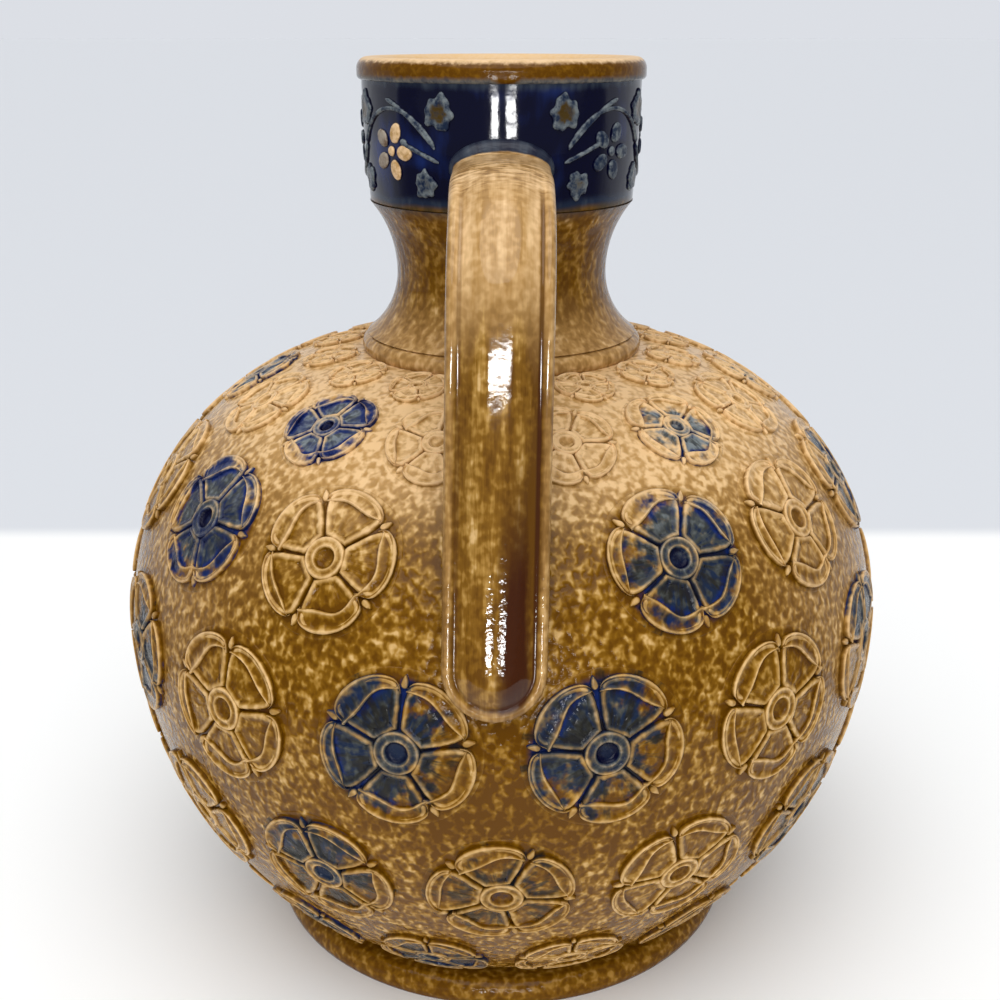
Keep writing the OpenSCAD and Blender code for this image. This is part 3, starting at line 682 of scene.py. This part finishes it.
def sprigMould():
    clay = Clay("flatX", "flatY", "rise", "crest", "deep", "hold")
    half = petalHalf()
    turnedRing(clay, padSteps, 60)
    turnedRing(clay, bossSteps, 44)
    angles = np.arange(14) / 14 * tau
    wide = sprig["sepalW"] * np.cos(angles) * (1 - sprig["sepalPoint"] * np.sin(angles))
    bead = np.column_stack([wide, sprig["sepalY"] + sprig["sepalL"] * np.sin(angles)])
    for k, fold in enumerate(sprig["folds"]):
        petal(clay, half, tau * (k + 0.5) / 5, fold)
        loops = [pressed(clay, inset(bead, step[0]), step, tau * k / 5) for step in sepalSteps]
        clay.skins(loops)
        tip(clay, loops[-1], (0, sprig["sepalY"] - 0.01), (0, 0.7, 0.7, 0, 0.1), tau * k / 5)
    return clay.build("sprigMould", 60)


def sprigTree(mould):  # presses the sprig at every point and wraps it over the body
    group = bpy.data.node_groups.new("sprigRow", "GeometryNodeTree")
    group.interface.new_socket("Points", in_out="INPUT", socket_type="NodeSocketGeometry")
    for label in rowSizes:
        group.interface.new_socket(label, in_out="INPUT", socket_type="NodeSocketFloat")
    group.interface.new_socket("Sprigs", in_out="OUTPUT", socket_type="NodeSocketGeometry")
    tree = Tree(group)
    points = tree.add("NodeGroupInput")
    bodyR, bodyZ, belly, shoulder, relief = (points.part(label) for label in rowSizes)

    def named(label):
        return tree.add("GeometryNodeInputNamedAttribute", {"data_type": "FLOAT"}, {"Name": label})

    single = tree.add("GeometryNodeObjectInfo", None, {"Object": mould}, "Geometry")
    copies = tree.add("GeometryNodeInstanceOnPoints", None, {"Points": points, "Instance": single})
    sprigs = tree.add("GeometryNodeRealizeInstances", None, {"Geometry": copies})
    size, turn, flatX, flatY = named("size"), named("turn"), named("flatX"), named("flatY")
    height = named("rise") * relief * named("depth")
    across = (flatX * turn.cos() - flatY * turn.sin()) * size
    run = named("run") + (flatX * turn.sin() + flatY * turn.cos()) * size
    profileR = belly + (shoulder - belly) * (run > 0.0)
    tilt = run / profileR
    ring = bodyR - profileR * (1.0 - tilt.cos())
    out = ring + height * tilt.cos()
    azimuth = named("azimuth") + across / ring
    up = bodyZ + (profileR + height) * tilt.sin()
    where = tree.vector(out * azimuth.sin(), out * azimuth.cos() * -1.0, up)
    wrapped = tree.add("GeometryNodeSetPosition", None, {"Geometry": sprigs, "Position": where})
    glazed = tree.add("GeometryNodeSetMaterial", None, {"Geometry": wrapped, "Material": glazes["rosette"]})
    tree.add("NodeGroupOutput", None, {0: glazed})
    return group


def painted(row, place):  # whether the rosette at a place of a row is blue
    steps = min(place, sprig["count"] - place)
    left = place > sprig["count"] / 2
    if row in (0, 1, 3):
        return row > 0 and int(steps) % 2 == (1 if row == 1 else 0)
    if row == 5:
        return not (place == 0.5 or int(steps) % 3 == 2)
    return (steps % 2 == (1 if row == 2 else 0)) != left


# How the blue lies on a rosette, by row and place from the handle: the way it leans, and how much there is
washes = {(1, -1.5): (0.0, 0.0, 1.0), (1, 1.5): (0.0, -0.2, 0.75), (2, -2): (0.1, 0.15, 1.0),
          (2, 1): (0.2, -0.1, 0.92), (3, -0.5): (-0.55, 0.25, 0.85), (3, 0.5): (-0.3, 0.2, 0.85),
          (4, -1): (-0.1, 0.45, 0.62), (4, 0): (0.0, 0.35, 0.42), (4, 2): (0.3, -0.5, 0.6)}
turns = {(2, -1): 0.35, (2, 1): -0.40, (3, -0.5): -0.10, (3, 0.5): 0.16}


def rosetteRow(row, blue, group):
    share, size = sprig["places"][row], sprig["sizes"][row]
    run = share * (seatAngle * jug["shoulderR"] if share > 0 else baseAngle * jug["bellyR"])
    points = Clay("azimuth", "run", "size", "turn", "depth", "coverX", "coverY", "cover")
    for i in range(sprig["count"]):
        place = i + row % 2 * 0.5
        signed = place if place <= sprig["count"] / 2 else place - sprig["count"]
        turn = turns.get((row, signed), rng.normal(0, 0.24))
        towards = washes.get((row, signed), (*rng.normal(0, 0.3, 2), rng.uniform(0.45, 0.9)))
        if painted(row, place) != blue or (row == 2 and i == 0):  # none under the strap
            continue
        c, s = math.cos(turn), math.sin(turn)
        points.loop([(0, 0, 0)], azimuth=place * tau / sprig["count"], run=run, size=size / 2, turn=turn,
                    depth=0.62 + 0.38 * min(1, size / 0.034), coverX=c * towards[0] + s * towards[1],
                    coverY=c * towards[1] - s * towards[0], cover=towards[2] if blue else -3.0)
    name = "rosettes" + sprig["names"][row] + ("Cobalt" if blue else "Plain")
    seeds = placed(name + "Points", points.mesh(name + "Points"))
    modifier = seeds.modifiers.new("sprigs", "NODES")
    modifier.node_group = group
    for item in group.interface.items_tree:
        if item.name in rowSizes:
            modifier[item.identifier] = rowSizes[item.name]
    bpy.context.view_layer.update()
    mesh = bpy.data.meshes.new_from_object(seeds.evaluated_get(bpy.context.evaluated_depsgraph_get()))
    bpy.data.objects.remove(seeds)
    return placed(name, mesh)


mould = sprigMould()
group = sprigTree(mould)
for row in range(6):
    for blue in (False, True)[:2 if row else 1]:
        piece = rosetteRow(row, blue, group)
        paintName = "cobalt" if blue else "plain"
        settle(piece, None, "cobalt_glaze" if blue else "tan_glaze", f"rosettes_{row + 1}_{paintName}")
        print(piece.name, len(piece.data.polygons), "faces")
bpy.data.objects.remove(mould)

# Ornament on the collar: sizes in metres, angles from the handle
vine = dict(flowers=7, first=math.radians(48.5), lift=0.0007, stem=0.0012, rise=0.009, petalL=0.0051,
            petalW=0.0038, reach=0.0046, turn=math.radians(69), dot=0.0013, leaf=0.0047, edge=0.0006)
vineZ = collarZ + jug["collarH"] / 2
flowerStep = (tau - 2 * vine["first"]) / (vine["flowers"] - 1)


def onCollar(azimuth, points, heights):  # flat points round an azimuth, wrapped on the collar
    made = []
    for (x, y), h in zip(points, np.broadcast_to(heights, len(points))):
        r, a = collarOut(vineZ + y) + h, azimuth + x / jug["collarR"]
        made.append((r * math.sin(a), -r * math.cos(a), vineZ + y))
    return made


def pad(clay, azimuth, outline, warm=0.0, heart=0.0):  # a soft-edged scrap of clay, brown at its heart
    steps = [(0, -0.6), (0, 0.2), (0.3, 0.66), (0.75, 0.9), (1.25, 0.98)]
    loops = []
    for depth, h in steps:
        points = onCollar(azimuth, inset(outline, vine["edge"] * depth), h * vine["lift"])
        loops.append(clay.loop(points, lift=max(0, h), warm=warm))
    middle = np.mean(outline, axis=0)
    inner = middle + (outline - middle) * 0.42
    crown = onCollar(azimuth, inner, vine["lift"] * (1 - 0.3 * heart))
    loops.append(clay.loop(crown, lift=1, warm=warm, heart=heart))
    clay.skins(loops)
    for loop, h in ((loops[-1], 1 - 0.4 * heart), (loops[0], -0.6)):
        point = onCollar(azimuth, [middle], h * vine["lift"])[0]
        clay.cap(loop, point, lift=max(0, h), warm=warm, heart=heart)


def stem(clay, azimuth, points, width):  # a thin roll of clay along a smooth line
    points = np.asarray(points, float)
    order = np.arange(len(points))
    at = np.linspace(0, len(points) - 1, 8 * len(points))
    degree = min(4, len(points) - 1)
    fits = [np.polynomial.Polynomial.fit(order, points[:, k], degree) for k in range(2)]
    line = np.column_stack([fit(at) for fit in fits])
    along = np.gradient(line, axis=0)
    along /= np.linalg.norm(along, axis=1)[:, None]
    across = np.column_stack([along[:, 1], -along[:, 0]])
    half = np.array([(-0.5, -0.6), (-0.5, 0.15), (-0.32, 0.75), (0, 1.0)])
    section = np.vstack([half, (half[:-1] * [-1, 1])[::-1]])
    loops = []
    for i in range(len(line)):
        taper = min(1.0, (min(i, len(line) - 1 - i) + 2) / 4)
        flat = line[i] + across[i] * section[:, :1] * width * taper
        lift = np.maximum(0, section[:, 1]) * taper
        loops.append(clay.loop(onCollar(azimuth, flat, section[:, 1] * vine["lift"] * taper), lift=lift))
    clay.skins(loops)
    for loop in (loops[0], loops[-1]):
        clay.faces.append(tuple(loop))


def oval(x, y, a, b, turn=0.0, points=18):
    angles = np.arange(points) / points * tau
    px, py = a * np.cos(angles), b * np.sin(angles)
    c, s = math.cos(turn), math.sin(turn)
    return np.column_stack([x + px * c - py * s, y + px * s + py * c])


def ragged(x, y, r, turn, lobes=5, points=54):  # leaf with an uneven wavy edge
    angles = np.arange(points) / points * tau
    waves = 0.07 * np.cos(lobes * angles) + 0.07 * np.cos(3 * angles + turn * 5)
    waves += 0.06 * np.cos(8 * angles + turn * 9)
    radius = r * (0.84 + waves)
    return np.column_stack([x + radius * np.cos(angles + turn) * 0.9, y + radius * np.sin(angles + turn)])


def collarOrnament():
    stems, flowers, leaves = (Clay("lift", "warm", "heart") for _ in range(3))
    rise = vine["rise"]
    half = jug["collarR"] * flowerStep / 2
    for i in range(vine["flowers"]):
        azimuth = vine["first"] + i * flowerStep
        up = 1 if i % 2 == 0 else -1
        hand = 1 if i < vine["flowers"] / 2 else -1  # the side that faces the handle
        last = i == vine["flowers"] - 1

        def at(*points):
            return [(-hand * x * half, up * y * rise) for x, y in points]

        arch = at((-1, 0), (-0.8, 0.46), (-0.42, 0.86), (0, 1), (0.42, 0.86), (0.8, 0.46), (1, 0))
        stem(stems, azimuth, arch, vine["stem"])
        if up > 0:
            stem(stems, azimuth, at((-0.12, 1.24), (0.3, 0.96), (0.66, 0.55), (0.98, 0.08)), vine["stem"])
            stem(stems, azimuth, at((0.34, 0.1), (0.65, -0.08), (1.08, -0.34)), vine["stem"])
            pad(leaves, azimuth, oval(*at((0.33, 0.13))[0], 0.0013, 0.0009, 0.4 * hand, 12))
        middle = -up * 0.001
        for k in range(5):
            turn = vine["turn"] + tau * k / 5
            x, y = vine["reach"] * math.cos(turn), middle + vine["reach"] * math.sin(turn)
            pad(flowers, azimuth, oval(x, y, vine["petalL"] / 2, vine["petalW"] / 2, turn),
                1.0 if last and math.cos(turn) > -0.3 else 0.3 if last else -0.4)
        pad(flowers, azimuth, oval(0, middle, vine["dot"], vine["dot"], 0, 14), 1.0 if last else 0.0)
    for i in range(vine["flowers"] + 1):
        azimuth = vine["first"] + (i - 0.5) * flowerStep
        for side in (-1, 1):
            inner = 0.0022 * (1 if i == 0 else -1 if i == vine["flowers"] else 0) * (0.4 - side)
            size = vine["leaf"] * (1.05 if side > 0 else 0.85)
            leaf = ragged(inner, side * (rise - 0.0006), size, side * 0.5 + i)
            pad(leaves, azimuth, leaf, 0.0, 0.9 if side > 0 else 0.5)
    settle(stems.build("collarStems", 60), "relief", "pale_glaze", "collar_vine")
    settle(flowers.build("collarFlowers", 60), "relief", "pale_glaze", "collar_flowers")
    settle(leaves.build("collarLeaves", 60), "relief", "pale_glaze", "collar_leaves")


collarOrnament()
print("collar ornament done")

# Mask on the front of the neck: a calm, bearded face, its swellings in shares of its half size
face = dict(w=0.030, h=0.031, out=0.0075, edge=0.0005, slip=0.00015, rings=96, turns=288, blur=0.06,
            shade=0.04)


def swell(x, y, cx, cy, a, b, h):
    return h * np.exp(-((x - cx) / a) ** 2 - ((y - cy) / b) ** 2)


def ridge(x, y, cx, cy, a, b, bend, h):  # a swelling that follows a bent line
    off = (x - cx) / a
    return h * np.exp(-off ** 4 - ((y - cy + bend * off ** 2) / b) ** 2)


def faceOut(x, y):
    ax = np.abs(x)
    fan = np.arctan2(x, 0.1 - y)
    far = np.hypot(x, y - 0.1)
    brow = swell(x, y, 0, 0.6, 0.5, 0.24, 0.10) + ridge(ax, y, 0.30, 0.42, 0.22, 0.055, 0.07, 0.20)
    socket = -swell(ax, y, 0.30, 0.24, 0.19, 0.12, 0.20)
    eyes = swell(ax, y, 0.30, 0.22, 0.11, 0.065, 0.20) + ridge(ax, y, 0.30, 0.29, 0.16, 0.024, 0.06, 0.12)
    lids = ridge(ax, y, 0.30, 0.155, 0.15, 0.020, -0.04, 0.08)
    nose = swell(x, y, 0, 0.20, 0.065, 0.24, 0.26) + swell(x, y, 0, 0.0, 0.09, 0.08, 0.30)
    wings = swell(ax, y, 0.105, -0.02, 0.05, 0.05, 0.16)
    cheeks = swell(ax, y, 0.46, 0.02, 0.16, 0.13, 0.14)
    lips = swell(x, y, 0, -0.33, 0.13, 0.035, 0.16) - swell(x, y, 0, -0.27, 0.16, 0.022, 0.16)
    tash = ridge(ax, y, 0.20, -0.17, 0.26, 0.07, 0.08, 0.24) * (1 + 0.3 * np.cos(46 * y + 16 * ax))
    chin = 1 / (1 + np.exp(-18 * (far - 0.58))) * np.exp(-(np.maximum(0, y + 0.05) / 0.2) ** 2)
    beard = chin * (0.13 + 0.085 * np.cos(19 * fan + 1.6 * np.sin(9 * far)))
    crown = 1 / (1 + np.exp(-20 * (far - 0.72))) * (1 - np.exp(-(np.maximum(0, y + 0.05) / 0.2) ** 2))
    hair = crown * (0.09 + 0.065 * np.cos(21 * fan + 1.2 * np.sin(11 * far)))
    return brow + socket + eyes + lids + nose + wings + cheeks + lips + tash + beard + hair


def neckOut(z):
    low = lowX - np.sqrt(jug["neckLowR"] ** 2 - np.minimum(z - neckZ, 0) ** 2)
    high = upX - np.sqrt(jug["neckUpR"] ** 2 - np.maximum(z - neckZ, 0) ** 2)
    return np.where(z < neckZ, low, high)


def beardedMask():
    clay = Clay("crest", "deep")
    turn = np.arange(face["turns"]) / face["turns"] * tau

    def ring(share, front):
        x, y = share * np.cos(turn), share * np.sin(turn)
        z = neckZ + face["h"] / 2 * y
        r = neckOut(z) + face["slip"]
        rise = faceOut(x, y)
        blur = face["blur"]
        around = [faceOut(x + blur * math.cos(a), y + blur * math.sin(a)) for a in np.arange(8) * tau / 8]
        # crest and deep from the face's swellings; deep carries pooled glaze and painted shade
        relief = (rise - np.mean(around, axis=0)) / face["shade"]
        if front:
            dome = jug["neckR"] + face["out"] * (math.sqrt(1 - share ** 2) + rise * (1 - share ** 8))
            r = np.maximum(dome, r + face["edge"])
        across = np.arcsin(face["w"] / 2 * x / jug["neckR"])
        points = np.column_stack([r * np.sin(across), r * np.cos(across), z])
        return clay.loop(points, crest=np.clip(relief, 0, 1), deep=np.clip(-relief, 0, 1))

    shares = np.arange(1, face["rings"] + 1) / face["rings"]
    loops = [ring(s, True) for s in shares] + [ring(s, False) for s in shares[::-4]]
    clay.skins(loops)
    for loop in (loops[0], loops[-1]):
        clay.cap(loop, np.mean([clay.verts[i] for i in loop], axis=0))
    return clay.build("beardedMask", 60)


settle(beardedMask(), "mask", "tan_glaze", "mask")
print("mask done")

# Floor, light and camera
studio = dict(floor=(0.95, 0.95, 0.94), far=(0.685, 0.704, 0.738), wall=(0.716, 0.738, 0.786),
              room=(0.12, 0.12, 0.13), edge=(0.272, 0.292), reach=30.0, near=-1.0,
              sun=2.6, sunFrom=(-0.08, -0.62, 1.6), sunTo=(0, 0, 0.1), sunWidth=math.radians(70), sky=0.30,
              paneTo=(0, 0, 0.16),
              panes=[("paneLeft", (-0.15, -1.5, 0.072), 0.15, 0.06, 2.2, "RECTANGLE"),
                     ("paneRight", (0.19, -1.49, 0.072), 0.20, 0.06, 2.2, "RECTANGLE"),
                     ("paneTop", (0.03, -1.5, 0.424), 0.80, 0.032, 4.6, "ELLIPSE")],
              lens=47.32, eye=(-0.0004, -0.3539, 0.2470), tilt=math.radians(70.2))


def backdrop(tree, behind):  # the pale backdrop, in mirrors only where it stands behind the jug
    seen = tree.add("ShaderNodeLightPath", out="Is Camera Ray")
    return (seen + (seen.part("Is Glossy Ray") + seen.part("Is Transmission Ray")) * behind).kept()


def layFloor():
    mesh = bpy.data.meshes.new("floor")
    r, near = studio["reach"], studio["near"]
    mesh.from_pydata([(-r, near, 0), (r, near, 0), (r, r, 0), (-r, r, 0)], [], [(0, 1, 2, 3)])
    floor = placed("floor", mesh)
    material, tree, where, x, y, z = newGlaze("floorPaint")
    away = x.calc("MAXIMUM", x.calc("ABSOLUTE", x), y.calc("ABSOLUTE", y))
    beyond = tree.mix(backdrop(tree, y.ease(-0.1, 0.3)), studio["room"], studio["far"])
    colour = tree.mix(away.ease(*studio["edge"]), studio["floor"], beyond)
    shader = tree.add("ShaderNodeBsdfPrincipled", None, {"Base Color": colour, "Roughness": 0.8})
    tree.add("ShaderNodeOutputMaterial", None, {"Surface": shader})
    mesh.materials.append(material)


def lightRoom():
    world = bpy.data.worlds.new("room")
    world.use_nodes = True
    world.node_tree.nodes.clear()
    tree = Tree(world.node_tree)
    where, x, y, z = tree.place()
    sky = tuple(studio["sky"] * share for share in (0.92, 0.95, 1.0))
    colour = tree.mix(backdrop(tree, y.ease(0.1, 0.7)), sky, studio["wall"])
    back = tree.add("ShaderNodeBackground", None, {"Color": colour, "Strength": 1.0})
    tree.add("ShaderNodeOutputWorld", None, {"Surface": back})
    bpy.context.scene.world = world


def lamp(name, kind, where, target, power, **settings):
    light = bpy.data.lights.new(name, kind)
    light.energy = power
    for key, setting in settings.items():
        setattr(light, key, setting)
    holder = placed(name, light)
    holder.location = where
    holder.rotation_euler = (Vector(target) - Vector(where)).to_track_quat("-Z", "Y").to_euler()


layFloor()
lamp("sky", "SUN", studio["sunFrom"], studio["sunTo"], studio["sun"], angle=studio["sunWidth"])
for name, where, wide, high, power, shape in studio["panes"]:
    lamp(name, "AREA", where, studio["paneTo"], power, shape=shape, size=wide, size_y=high)
lightRoom()

camera = bpy.data.cameras.new("camera")
camera.sensor_width, camera.lens, camera.clip_start = 36, studio["lens"], 0.02
eye = placed("camera", camera)
eye.location = studio["eye"]
eye.rotation_euler = (studio["tilt"], 0, 0)
bpy.context.scene.camera = eye
bpy.context.scene.view_settings.view_transform = "Standard"
print("stage done")
